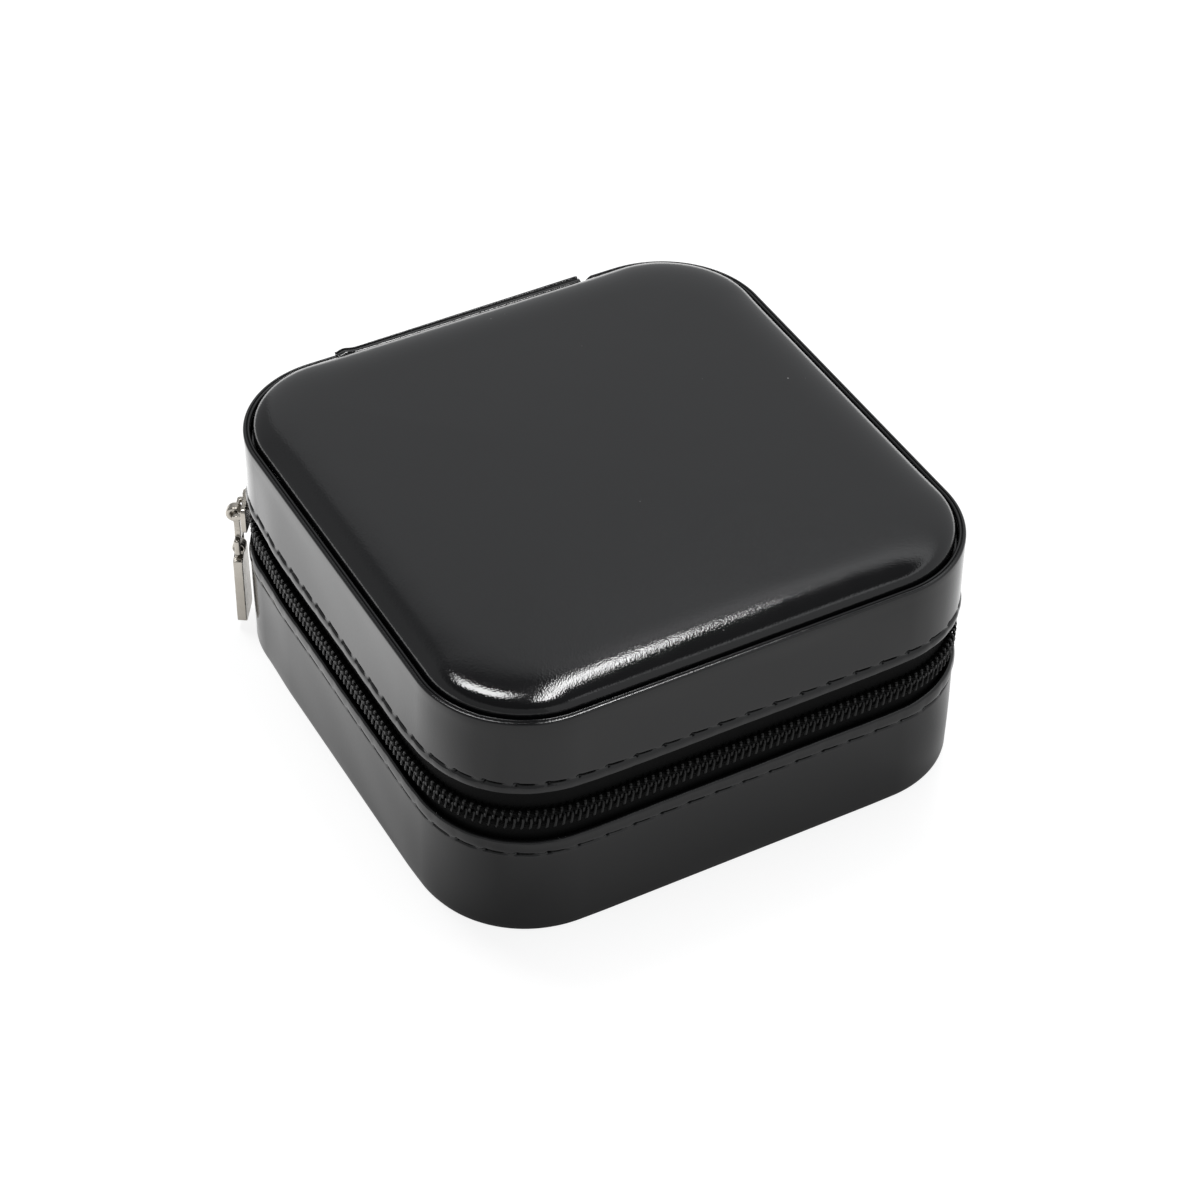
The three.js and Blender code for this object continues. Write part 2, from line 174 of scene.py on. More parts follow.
def arc_points(centre, radius, start, stop, count=6):
    """Points of an arc, by degrees from the first axis towards the second."""
    angle = np.radians(np.linspace(start, stop, count))
    return np.stack([centre[0] + radius * np.cos(angle), centre[1] + radius * np.sin(angle)], 1)


# ---- Mesh helpers: each returns (points, faces) ----
def loft(rings, closed_rings=False, caps=True):
    """Joins rings of equal length, each a closed loop of points, one after the other."""
    rings = np.asarray(rings, float)
    count, around = rings.shape[:2]
    a = np.arange(count if closed_rings else count - 1)[:, None]
    b = np.arange(around)[None]
    nxt, beside = (a + 1) % count, (b + 1) % around
    quads = np.stack([a * around + b, a * around + beside, nxt * around + beside, nxt * around + b], -1)
    faces = [tuple(q) for q in quads.reshape(-1, 4)]
    if caps and not closed_rings:
        faces.append(tuple(range(around))[::-1])
        faces.append(tuple(range((count - 1) * around, count * around)))
    return rings.reshape(-1, 3), faces


def on_side(s, start, length, ease=13.0):
    """1 along a stretch of the outline, easing to 0 at its ends."""
    return smooth_step((s - start + ease / 2) / ease) * smooth_step((start + length - s + ease / 2) / ease)


def hump(x, place, width):
    """A smooth bump of height 1 at a place."""
    return np.exp(-(((x - place) / width) ** 2))


def bow(s, z):
    """How far the leather and the zip stand out from the outline: the walls belly out round the zip."""
    left = on_side(s, STRAIGHT_X / 2 + ARC + 5, STRAIGHT_Y - 5)
    front = on_side(s, STRAIGHT_X / 2 + 2 * ARC + STRAIGHT_Y, STRAIGHT_X)
    right = on_side(s, STRAIGHT_X * 1.5 + 3 * ARC + STRAIGHT_Y, STRAIGHT_Y)
    corners = on_side(s, STRAIGHT_X / 2 + ARC / 2, PERIMETER - STRAIGHT_X - ARC)
    swell = 0.45 + 0.55 * hump(z, ZIP_Z + 3, 6.5)
    to_rim = 1 - smooth_step((z - LID_STITCH) / (RIM_TOP - LID_STITCH))
    base_corner = hump(s, STRAIGHT_X / 2 + ARC * 0.6, 11) * smooth_step((BASE_TOP + 3 - z) / 6)
    return (0.15 * corners + 0.9 * left + 0.45 * front + 0.8 * right) * swell * to_rim + 0.4 * base_corner


def at(s, inset, z):
    """Points of the leather or the zip: s along the outline, inset from its bowed face, at height z."""
    s, inset, z = np.broadcast_arrays(np.asarray(s, float), inset, z)
    points, out = outline(s)
    return np.concatenate([points - out * (inset - bow(s, z))[..., None], z[..., None]], axis=-1)


def carry(section, s):
    """A section, or one section for each distance, as rings of points along the bowed outline."""
    section = np.asarray(section, float)
    return at(np.asarray(s)[:, None], section[..., 0], section[..., 1])


def level_rings(levels, size=1.5):
    """One ring of the whole outline for each (inset, z) level."""
    s = all_round(size)
    points, out = outline(s)
    return [np.column_stack([points - out * inset, np.full(len(s), z)]) for inset, z in levels]


def circle(sides):
    """Points of a circle of radius 1."""
    angle = np.linspace(0, 2 * math.pi, sides, endpoint=False)
    return np.stack([np.cos(angle), np.sin(angle)], 1)


def tube(path, radius, sides=8):
    """A round tube along a path of points, with closed ends."""
    path = np.asarray(path, float)
    radius = np.broadcast_to(radius, len(path))
    along = np.gradient(path, axis=0)
    along /= np.linalg.norm(along, axis=1)[:, None]
    up = np.array([0, 0, 1.0])
    if abs(along[:, 2]).max() > 0.9:
        up = np.array([0.577, 0.577, 0.577])
    across = np.cross(along, up)
    across /= np.linalg.norm(across, axis=1)[:, None]
    top = np.cross(across, along)
    ring = across[:, None] * circle(sides)[:, :1] + top[:, None] * circle(sides)[:, 1:]
    return loft(path[:, None] + ring * radius[:, None, None])


def merge(parts):
    """One (points, faces) from several."""
    points, faces, base = [], [], 0
    for p, f in parts:
        points.append(p)
        faces.extend(tuple(i + base for i in face) for face in f)
        base += len(p)
    return np.concatenate(points), faces


def box_shape(low, high):
    """A plain box, as two rings."""
    (x0, y0, z0), (x1, y1, z1) = low, high
    ring = [(x0, y0), (x1, y0), (x1, y1), (x0, y1)]
    return loft([[(x, y, z) for x, y in ring] for z in (z0, z1)])


def rounded_slab(low, high, radius, cuts=(1, 1, 1), bend=None):
    """A box with rounded edges, as rings stacked along z, with its straight runs cut along x, y and z.

    bend(points) may shape it further.
    """
    low, high = np.array(low, float) + radius, np.array(high, float) - radius
    turn = np.radians(np.linspace(-90, 90, 11))
    levels = [(radius * (1 - math.cos(a)), (low if a <= 0 else high)[2] + radius * math.sin(a)) for a in turn]
    straight = [(0.0, z) for z in np.linspace(low[2], high[2], cuts[2] + 1)[1:]]
    corners = [(high[0], high[1], 0), (low[0], high[1], 90), (low[0], low[1], 180), (high[0], low[1], 270)]
    rings = []
    for inset, z in levels[:6] + straight + levels[6:]:
        arcs = [arc_points((x, y), radius - inset, start, start + 90, 5) for x, y, start in corners]
        ring = []
        for k, arc in enumerate(arcs):
            share = np.linspace(0, 1, cuts[k % 2] + 1)[1:-1, None]
            ring += [arc, arc[-1] + (arcs[(k + 1) % 4][0] - arc[-1]) * share]
        ring = np.concatenate(ring)
        rings.append(np.column_stack([ring, np.full(len(ring), z)]))
    points, faces = loft(rings)
    return (bend(points) if bend else points), faces


# ---- Placing pieces ----
def new_mesh(name, points, faces, scale=MM):
    mesh = bpy.data.meshes.new(name)
    mesh.from_pydata((np.asarray(points) * scale).tolist(), [], faces)
    mesh.validate()
    obj = bpy.data.objects.new(name, mesh)
    bpy.context.scene.collection.objects.link(obj)
    return obj


def face_outwards(obj):
    bpy.ops.object.select_all(action="DESELECT")
    bpy.context.view_layer.objects.active = obj
    obj.select_set(True)
    bpy.ops.object.mode_set(mode="EDIT")
    bpy.ops.mesh.select_all(action="SELECT")
    bpy.ops.mesh.normals_make_consistent(inside=False)
    bpy.ops.object.mode_set(mode="OBJECT")


def finish_piece(obj, look, body, stands_for=(), sharp=40):
    face_outwards(obj)
    obj.data.materials.clear()
    obj.data.materials.append(look)
    obj.data.shade_smooth()
    obj.data.set_sharp_from_angle(angle=math.radians(sharp))
    if body:
        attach(obj, body)
    if stands_for:
        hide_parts(*stands_for)
    return obj


def add_piece(name, shape, look, body, stands_for=(), sharp=40):
    obj = new_mesh(name, *shape)
    return finish_piece(obj, look, body, stands_for, sharp)


def apply_modifiers(obj):
    """Replaces the object's mesh by the mesh its modifiers make."""
    depsgraph = bpy.context.evaluated_depsgraph_get()
    mesh = bpy.data.meshes.new_from_object(obj.evaluated_get(depsgraph))
    obj.modifiers.clear()
    obj.data = mesh
    return obj


def cast_metal(name, shape, place, voxel=0.1, rounds=6):
    """A die-cast piece: overlapping shapes in mm, fused and softened at their edges, then put in place."""
    obj = new_mesh(name, *shape, scale=1)
    remesh = obj.modifiers.new("fuse", "REMESH")
    remesh.mode = "VOXEL"
    remesh.voxel_size = voxel
    soften = obj.modifiers.new("soften", "SMOOTH")
    soften.factor = 0.5
    soften.iterations = rounds
    bpy.context.view_layer.update()
    apply_modifiers(obj)
    obj.data.transform(Matrix.Scale(MM, 4) @ place)
    return obj


# ---- Materials ----
class Nodes:
    """Adds texture and maths nodes to the node tree of a material or of the world."""

    def __init__(self, tree, coords):
        self.nodes, self.links = tree.nodes, tree.links
        self.coords = self.nodes.new("ShaderNodeTexCoord").outputs[coords]

    def axis(self, name):
        node = self.nodes.new("ShaderNodeSeparateXYZ")
        self.links.new(self.coords, node.inputs["Vector"])
        return node.outputs[name]

    def noise(self, size_mm, detail=2.0):
        node = self.nodes.new("ShaderNodeTexNoise")
        node.inputs["Scale"].default_value = 1 / (size_mm * MM)
        node.inputs["Detail"].default_value = detail
        self.links.new(self.coords, node.inputs["Vector"])
        return node.outputs["Fac"]

    def cells(self, size_mm):
        node = self.nodes.new("ShaderNodeTexVoronoi")
        node.inputs["Scale"].default_value = 1 / (size_mm * MM)
        self.links.new(self.coords, node.inputs["Vector"])
        return node.outputs["Distance"]

    def wave(self, length_mm, direction):
        node = self.nodes.new("ShaderNodeTexWave")
        node.bands_direction = direction
        bands = 20 / (2 * math.pi)  # how many bands the texture has in one unit at scale 1
        node.inputs["Scale"].default_value = 1 / (length_mm * MM * bands)
        self.links.new(self.coords, node.inputs["Vector"])
        return node.outputs["Fac"]

    def spread(self, source, low, high, from_low=0.0, from_high=1.0):
        node = self.nodes.new("ShaderNodeMapRange")
        node.inputs["From Min"].default_value = from_low
        node.inputs["From Max"].default_value = from_high
        node.inputs["To Min"].default_value = low
        node.inputs["To Max"].default_value = high
        self.links.new(source, node.inputs["Value"])
        return node.outputs["Result"]

    def math(self, operation, a, b):
        node = self.nodes.new("ShaderNodeMath")
        node.operation = operation
        for socket, value in zip(node.inputs, (a, b)):
            if isinstance(value, (int, float)):
                socket.default_value = value
            else:
                self.links.new(value, socket)
        return node.outputs["Value"]

    def mix_color(self, factor, dark, light):
        node = self.nodes.new("ShaderNodeMix")
        node.data_type = "RGBA"
        node.inputs["A"].default_value = (*dark, 1)
        node.inputs["B"].default_value = (*light, 1)
        self.links.new(factor, node.inputs["Factor"])
        return node.outputs["Result"]


class Look(Nodes):
    """A node material: drive() and bump() connect values to its shader."""

    def __init__(self, name, color, roughness, metallic=0.0, ior=1.5):
        self.material = bpy.data.materials.new(name)
        self.material.use_nodes = True
        super().__init__(self.material.node_tree, "Object")
        self.shader = self.nodes["Principled BSDF"]
        self.shader.inputs["Base Color"].default_value = (*color, 1)
        self.shader.inputs["Roughness"].default_value = roughness
        self.shader.inputs["Metallic"].default_value = metallic
        self.shader.inputs["IOR"].default_value = ior
        self.normal = None

    def drive(self, name, source):
        self.links.new(source, self.shader.inputs[name])

    def bump(self, height, depth_mm, strength=1.0):
        node = self.nodes.new("ShaderNodeBump")
        node.inputs["Distance"].default_value = depth_mm * MM
        node.inputs["Strength"].default_value = strength
        self.links.new(height, node.inputs["Height"])
        if self.normal:
            self.links.new(self.normal, node.inputs["Normal"])
        self.normal = node.outputs["Normal"]
        self.links.new(self.normal, self.shader.inputs["Normal"])


def leather_look(name="glossy_leather", dusty=False):
    """Smooth coated leather: near black and mirror-like, with a fine grain and slow undulation."""
    black, grey = (0.005, 0.005, 0.0055), (0.16, 0.16, 0.16)
    look = Look(name, black, 0.16)
    look.drive("Roughness", look.spread(look.noise(6, 4), 0.06, 0.11, 0.3, 0.7))
    look.bump(look.noise(14, 1), 0.12, 0.35)
    look.bump(look.cells(0.3), 0.014, 0.7)
    look.bump(look.noise(0.45, 2), 0.01, 0.5)
    if dusty:
        specks = look.spread(look.cells(4.2), 1, 0, 0.03, 0.045)
        chosen = look.spread(look.noise(7, 0), 0, 1, 0.6, 0.66)
        dust = look.math("MULTIPLY", specks, chosen)
        look.drive("Base Color", look.mix_color(dust, black, grey))
    return look.material


def velvet_look():
    look = Look("velvet", (0.012, 0.012, 0.013), 0.95, ior=1.3)
    look.shader.inputs["Sheen Weight"].default_value = 0.8
    look.shader.inputs["Sheen Roughness"].default_value = 0.35
    look.shader.inputs["Sheen Tint"].default_value = (0.35, 0.35, 0.37, 1)
    look.drive("Base Color", look.mix_color(look.noise(3, 4), (0.011, 0.011, 0.012), (0.03, 0.03, 0.033)))
    look.bump(look.noise(0.35, 4), 0.12, 0.8)
    look.bump(look.noise(5, 2), 0.3, 0.3)
    return look.material


def webbing_look():
    look = Look("woven_tape", (0.004, 0.004, 0.004), 0.85, ior=1.25)
    ribs = look.wave(2.639, "Z")
    warp = look.noise(0.3, 2)
    look.bump(look.math("MULTIPLY", ribs, warp), 0.12, 0.9)
    return look.material


def nylon_look():
    look = Look("nylon", (0.004, 0.004, 0.004), 0.32, ior=1.38)
    look.bump(look.noise(0.5, 2), 0.01, 0.4)
    return look.material


def thread_look():
    look = Look("thread", (0.003, 0.003, 0.003), 0.8, ior=1.3)
    look.bump(look.noise(0.15, 2), 0.03, 0.6)
    return look.material


def nickel_look():
    look = Look("nickel", (0.4, 0.37, 0.33), 0.2, metallic=1.0)
    look.drive("Roughness", look.spread(look.noise(1.2, 5), 0.14, 0.32))
    look.drive("Base Color", look.mix_color(look.noise(2.5, 3), (0.35, 0.325, 0.285), (0.45, 0.425, 0.385)))
    look.bump(look.noise(0.8, 4), 0.012, 0.5)
    return look.material


def board_look():
    look = Look("fibre_board", (0.25, 0.2, 0.14), 0.9)
    look.drive("Base Color", look.mix_color(look.noise(1.2, 6), (0.17, 0.13, 0.09), (0.32, 0.26, 0.19)))
    look.bump(look.noise(0.4, 5), 0.08, 0.5)
    return look.material


def foam_look():
    look = Look("foam", (0.65, 0.62, 0.55), 0.95)
    look.bump(look.cells(0.8), 0.2, 0.7)
    return look.material


LOOKS = {
    "leather": leather_look(),
    "top": leather_look("glossy_leather_top", dusty=True),
    "velvet": velvet_look(),
    "webbing": webbing_look(),
    "nylon": nylon_look(),
    "thread": thread_look(),
    "nickel": nickel_look(),
    "board": board_look(),
    "foam": foam_look(),
}


# ---- Walls ----
def wall_relief(s, z, stitch_z, edge_z, depth):
    """How far the leather's outer face stands out at (s, z).

    It has the stitch line's groove, of the given depth, its needle holes, the puffed turned edge beyond it,
    and slow waves over the board.
    """
    from_line = z - stitch_z
    along = np.mod(s - WALL_START, STITCH)
    slant = from_line + SLANT * (along / STITCH - 0.5)
    pulled = 1 - 0.75 * smooth_step((along / STITCH - 0.55) / 0.2)
    groove = -depth * pulled * hump(slant, 0, 0.28)
    to_hole = np.minimum(along, STITCH - along)
    holes = -0.5 * hump(to_hole, 0, 0.32) * hump(from_line, SLANT / 2, 0.32)
    toward_edge = from_line / (edge_z - stitch_z)
    tight = 1 - 0.3 * hump(to_hole, 0, 0.9)
    puff = 0.24 * np.sin(math.pi * np.clip(toward_edge, 0, 1)) ** 0.8 * tight
    waves = 0.05 * np.sin(s / 11.3 + 0.7) * np.sin(z / 5.1 + s / 37) + 0.03 * np.sin(s / 4.7 + z / 3.3)
    return groove + holes + puff + waves


def wall_distances():
    """Distances along a wall's leather, close together round the needle holes."""
    count = int((WALL_END - WALL_START) / STITCH)
    per_stitch = 16
    u = np.arange(count * per_stitch + 1) / per_stitch
    s = WALL_START + STITCH * (u - 0.62 * np.sin(2 * math.pi * u) / (2 * math.pi))
    return np.concatenate([s[s < WALL_END - 0.2], steps(WALL_START + count * STITCH + 0.3, WALL_END, 0.3)])


def dips(t):
    """How a stitch's thread bends down into its needle holes, from 0 in its middle to 1 at both ends."""
    return np.abs(2 * t - 1) ** 6


def stitches(name, stitch_z, body):
    """The thread that lies in a wall's groove, one short run for each stitch."""
    t = np.linspace(0, 1, 9)
    along = 0.03 + 0.62 * t
    parts = []
    for k in range(int((WALL_END - WALL_START) / STITCH)):
        line = at(WALL_START + (k + along) * STITCH, 0.17 + 0.5 * dips(t), stitch_z - SLANT * (along - 0.5))
        parts.append(tube(line, 0.115, 6))
    add_piece(name, merge(parts), LOOKS["thread"], body)


def outer_face(low, high, fine_low, fine_high):
    """Heights up a wall's outer face, closer together between fine_low and fine_high."""
    coarse = [steps(low, fine_low, 0.9)] if fine_low > low else []
    after = [steps(fine_high, high, 0.9)] if high > fine_high else []
    return np.unique(np.concatenate(coarse + [steps(fine_low, fine_high, 0.13)] + after))


def base_wall():
    edge = LEATHER / 2
    heel = 0.45
    s = wall_distances()
    heights = outer_face(heel, BASE_TOP - edge, BASE_STITCH - 1.1, BASE_TOP - edge)
    outside = np.column_stack([np.zeros_like(heights), heights])
    section = np.concatenate(
        [
            [(TURN_UNDER, 0)],
            arc_points((heel, heel), heel, 270, 180),
            outside[1:-1],
            arc_points((edge, BASE_TOP - edge), edge, 180, 0, 9),
            [(LEATHER, 0.8), (TURN_UNDER, 0.8)],
        ]
    )
    rings = np.repeat(section[None], len(s), axis=0)
    z = rings[..., 1]
    outer = rings[..., 0] < edge
    fade = smooth_step((z - heel) / 2)
    rings[..., 0] -= np.where(outer, wall_relief(s[:, None], z, BASE_STITCH, BASE_TOP, 0.5) * fade, 0)
    shape = loft(carry(rings, s))
    add_piece("base_wall_cover", shape, LOOKS["leather"], "base", ["base_wall_leather"], 60)
    stitches("base_stitches", BASE_STITCH, "base")


def lid_wall():
    edge = LEATHER / 2
    lip = 0.42
    s = wall_distances()
    heights = outer_face(LID_BOTTOM + edge, RIM_TOP - 2 * lip, LID_BOTTOM + edge, LID_STITCH + 1.1)
    outside = np.column_stack([np.zeros_like(heights), heights])
    # The rim is a doubled edge: its outer layer slopes outwards, with a seam between it and the inner layer.
    slope, brink, inner_lip = 0.23, 0.6, 0.35
    lean = math.degrees(math.atan(slope))
    top = RIM_TOP - slope * brink - lip * (1 - slope)
    across = np.linspace(lip * (1 - slope), RIM_WIDTH - inner_lip, 15)
    seam = RIM_TOP - slope * np.maximum(brink - across, 0) - 0.3 * hump(across, 0.7, 0.11)
    section = np.concatenate(
        [
            arc_points((edge, LID_BOTTOM + edge), edge, 360, 180, 9),
            outside[1:-1],
            arc_points((lip, top), lip, 180, 90 + lean),
            np.column_stack([across, seam])[1:-1],
            arc_points((RIM_WIDTH - inner_lip, RIM_TOP - inner_lip), inner_lip, 90, 0),
            [(RIM_WIDTH, RIM_FOOT), (LEATHER, RIM_FOOT - 0.4)],
        ]
    )
    rings = np.repeat(section[None], len(s), axis=0)
    z = rings[..., 1].copy()
    outer = rings[..., 0] < lip * 0.999
    fade = smooth_step((RIM_TOP - 1 - z) / 3)
    rings[..., 0] -= np.where(outer, wall_relief(s[:, None], z, LID_STITCH, LID_BOTTOM, 0.26) * fade, 0)
    # The folded corner of the leather next to the hinge strip's cut end slopes down to the gap.
    near_gap = 1 - smooth_step((WALL_END - s) / 1.7)
    near_top = smooth_step((z - (RIM_TOP - 1.5)) / 0.6)
    rings[..., 1] -= 0.9 * near_gap[:, None] * near_top
    shape = loft(carry(rings, s))
    add_piece("lid_wall_cover", shape, LOOKS["leather"], "lid", ["lid_wall_leather"], 60)
    stitches("lid_stitches", LID_STITCH, "lid")


# ---- Padded top ----
def inset_of(xy):
    """Distance in from the case's outline of points seen from above."""
    q = np.abs(xy) - np.array([WIDTH / 2 - RADIUS, DEPTH / 2 - RADIUS])
    outside = np.linalg.norm(np.maximum(q, 0), axis=1)
    return RADIUS - outside - np.minimum(q.max(axis=1), 0)


def pad_height(xy):
    """Height of the padded top. Its shoulder is wider and flatter round the corners."""
    edge_distance = inset_of(xy) - COVER_INSET
    q = np.abs(xy) - np.array([WIDTH / 2 - RADIUS, DEPTH / 2 - RADIUS])
    corner = smooth_step((q.min(axis=1) + 8) / 15)
    side_top = PAD_LOW[2] + 1.2
    shoulder, power, crown = 9.8 + 4.5 * corner, 2.7 + 0.8 * corner, 0.4
    x = np.clip(edge_distance / shoulder, 0, 1)
    rise = (1 - (1 - x) ** power) ** (1 / power)
    inward = np.clip(edge_distance / (WIDTH / 2 - COVER_INSET), 0, 1)
    return side_top + (PAD_TOP - crown - side_top) * rise + crown * (1 - (1 - inward) ** 2)


def padded_top():
    s = all_round(0.8)
    points, out = outline(s)
    edge = points - out * COVER_INSET
    # The rings shrink towards the middle, close together over the shoulder.
    shrink = 1 - np.linspace(0, 1, 110) ** 2.3 * 0.99
    rings = [np.column_stack([edge * k, pad_height(edge * k)]) for k in shrink]
    flank = steps(PAD_LOW[2] + 0.2, rings[0][0, 2], 0.3)[:-1]
    levels = [(COVER_INSET + 0.3, PAD_LOW[2])] + [(COVER_INSET, z) for z in flank]
    shape = loft(level_rings(levels, 0.8) + rings)
    add_piece("padded_top_cover", shape, LOOKS["top"], "lid", ["lid_pad_leather"], 50)
    inset = node_inset("lid_top_board")
    levels = [(inset, box[2]) for box in node_box("lid_top_board")]
    shape = loft(level_rings(levels))
    add_piece("lid_top_board_cover", shape, LOOKS["leather"], "lid", ["lid_top_board"])


# ---- Zip ----
def tooth_path(sign, s):
    """One turn of the coil: from its root in the tape, over the front, to its head across the centre line.

    reach is from the zip's centre line, depth is in from the outline, and lean is along the zip.
    """
    reach = [1.7, 1.92, 1.85, 1.45, 0.9, 0.35, -0.1, -0.36, -0.25]
    depth = [1.35, 0.95, 0.5, 0.36, 0.4, 0.42, 0.48, 0.8, 1.25]
    lean = [0.3, 0.3, 0.28, 0.16, 0.05, -0.05, -0.08, -0.08, -0.05]
    path = at(s + sign * np.array(lean), depth, ZIP_Z)
    path[:, 2] += sign * np.array(reach)
    return path


def refine(path, count):
    """The path with a smooth curve through its points."""
    t = np.linspace(0, len(path) - 1, count)
    i = np.clip(t.astype(int), 0, len(path) - 2)
    f = (t - i)[:, None]
    before, after = path[np.maximum(i - 1, 0)], path[np.minimum(i + 2, len(path) - 1)]
    a, b = path[i], path[i + 1]
    square, cube = 2 * before - 5 * a + 4 * b - after, 3 * a - before - 3 * b + after
    return 0.5 * (2 * a + (b - before) * f + square * f**2 + cube * f**3)


def zip_teeth(side, sign, body, start, stop):
    """The nylon coil. The two rows are half a tooth apart, so that they mesh."""
    t = np.linspace(0, 1, 14)
    radius = 0.25 + 0.05 * hump(t, 0.24, 0.0894) + 0.04 * hump(t, 0.82, 0.1)
    first = 0.25 if sign > 0 else 0.75
    places = start + (np.arange(int((stop - start) / TOOTH)) + first) * TOOTH
    shape = merge([tube(refine(tooth_path(sign, s), len(t)), radius, 7) for s in places])
    add_piece(f"zip_teeth_{side}", shape, LOOKS["nylon"], body, [f"zipper_coil_{side}"])


def zip_sewing(side, sign, body, start, stop):
    """Two rows of thread over the coil, dipping between its teeth."""
    s = steps(start, stop, TOOTH / 6)
    sunk = 0.32 - 0.18 * np.cos(2 * math.pi * (s - start) / TOOTH - 1.2)
    shape = merge([tube(at(s, sunk, ZIP_Z + sign * reach), 0.11, 5) for reach in (0.95, 1.3)])
    add_piece(f"zip_sewing_{side}", shape, LOOKS["thread"], body)


def zip_band(name, body, distances, insets, heights, stands_for=()):
    """A flat woven band along the zip."""
    (near, far), (low, high) = insets, sorted(heights)
    section = [(near, low), (near, high), (far, high), (far, low)]
    add_piece(name, loft(carry(section, distances)), LOOKS["webbing"], body, stands_for)


def zip_half(side, sign, body):
    """One side of the zip: teeth, their sewing, the cord inside the coil, the tape behind and two stops."""
    to_stop = 0.9
    start = -node_box("zipper_stop_lower_left")[0][0] + to_stop
    stop = PERIMETER - node_box("zipper_stop_lower_right")[1][0] - to_stop
    zip_teeth(side, sign, body, start, stop)
    zip_sewing(side, sign, body, start, stop)
    cord = (ZIP_Z + sign * 0.35, ZIP_Z + sign * 1.5)
    zip_band(f"zip_cord_{side}", body, steps(start, stop, 1), (0.75, 1.3), cord)
    tape = f"zipper_tape_{side}"
    low, high = node_box(tape)
    edges = (ZIP_Z + sign * 0.3, low[2] if sign < 0 else high[2])
    tuck = 4.5  # the tape's ends run on under the hinge strip
    zip_band(f"zip_tape_{side}", body, steps(start - tuck, stop + tuck, 1), (1.5, 2.0), edges, [tape])
    for end in ("left", "right"):
        node = f"zipper_stop_{side}_{end}"
        add_piece(f"{node}_clip", rounded_slab(*node_box(node), 0.3), LOOKS["nickel"], body, [node])


def zip_fastener():
    zip_half("lower", -1, "base")
    zip_half("upper", 1, "lid")


# ---- Hinge strip ----
def strip_heights():
    """Heights up the strip's outer face, close together along its two stitch lines."""
    low, high = STRIP_LOW[2], STRIP_HIGH[2]
    return np.concatenate(
        [
            [low, low + 0.15],
            steps(low + 0.6, BASE_STITCH - 1.2, 0.9),
            steps(BASE_STITCH - 1, LID_STITCH + 1, 0.2),
            steps(LID_STITCH + 1.5, high - 0.45, 0.6),
        ]
    )


def strip_section(x, z):
    """The strip's closed section at one place across it, as (y, z) points.

    It goes up the outer face, over two beads, and down the inner face, which stands for the rim above the
    lid's roof.
    """
    low, high = STRIP_LOW[2], STRIP_HIGH[2]
    outer, inner = STRIP_HIGH[1], STRIP_LOW[1]
    seam, rim = DEPTH / 2 - 0.15, DEPTH / 2 - RIM_WIDTH - 0.3
    bead = 0.45
    # It lies flatter towards its tucked left end.
    flat = 0.7 * (STRIP_HIGH[0] - x) / (STRIP_HIGH[0] - STRIP_LOW[0])
    face = outer - flat * smooth_step((z - RIM_TOP + 9) / 9)
    for line in (BASE_STITCH, LID_STITCH):
        to_hole = abs((x - STRIP_LOW[0] - STRIP_FIRST_HOLE + STITCH / 2) % STITCH - STITCH / 2)
        face = face - 0.24 * hump(z, line, 0.28)
        face = face - 0.4 * hump(to_hole, 0, 0.3) * hump(z, line, 0.3)
    # No board holds the leather over the fold, so it waves there.
    face = face + 0.18 * hump(z, HINGE[2], 4) * math.sin(x / 5.2 + 0.6)
    face[0] -= 0.25
    beads = []
    for start, stop in ((face[-1], seam), (seam, rim)):
        arc = np.linspace(0, math.pi, 10)
        bead_y = (start + stop) / 2 + (start - stop) / 2 * np.cos(arc)
        beads.append(np.column_stack([bead_y, high - bead + bead * np.sin(arc)])[1:])
    inside = [(rim, RIM_FOOT), (inner, RIM_FOOT), (inner, (RIM_FOOT + low) / 2), (inner, low)]
    return np.concatenate([np.column_stack([face, z]), *beads, inside])


def hinge_strip():
    z = strip_heights()
    end = 0.3
    ends = np.array([0.01, 0.06, 0.15])
    middle = steps(STRIP_LOW[0] + end, STRIP_HIGH[0] - end, 0.35)
    across = [STRIP_LOW[0] + ends, middle, STRIP_HIGH[0] - ends[::-1]]
    rings = []
    for x in np.concatenate(across):
        section = strip_section(x, z)
        # The ends are rounded: the section shrinks towards its own middle line.
        to_end = min(x - STRIP_LOW[0], STRIP_HIGH[0] - x, end) / end
        shrink = 0.25 * (1 - math.sqrt(1 - (1 - to_end) ** 2))
        section[:, 0] -= shrink * np.sign(section[:, 0] - (STRIP_LOW[1] + STRIP_HIGH[1]) / 2)
        # The tucked left end is twisted a little where it goes under the rim.
        twist = hump(x, STRIP_LOW[0] + 1.6, 1.3)
        section += np.array([0.3, 0.25]) * twist * smooth_step((section[:, 1:] - RIM_TOP + 3) / 3)
        rings.append(np.column_stack([np.full(len(section), x), section]))
    strip = new_mesh("hinge_strip", *loft(rings))
    stands_for = ["hinge_strip_lower", "hinge_strip_upper", "hinge_fold"]
    finish_piece(strip, LOOKS["leather"], None, stands_for, 50)
    # Two points, below and above the hinge's axis.
    start, end = ((0, HINGE[1] * MM, (HINGE[2] + reach) * MM) for reach in (-3.2, 3.2))
    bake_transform(strip)
    for body, line in (("base", BASE_STITCH), ("lid", LID_STITCH)):
        strip_stitches(body, line)


def strip_stitches(body, line):
    t = np.linspace(0, 1, 9)
    y = STRIP_HIGH[1] - 0.14 - 0.45 * dips(t)
    parts = []
    for k in range(int((STRIP_HIGH[0] - STRIP_LOW[0] - 1) / STITCH)):
        x = STRIP_LOW[0] + STRIP_FIRST_HOLE + (k + 0.03 + 0.94 * t) * STITCH
        parts.append(tube(np.column_stack([x, y, np.full(len(t), line)]), 0.15, 6))
    add_piece(f"{body}_strip_stitches", merge(parts), LOOKS["thread"], body)


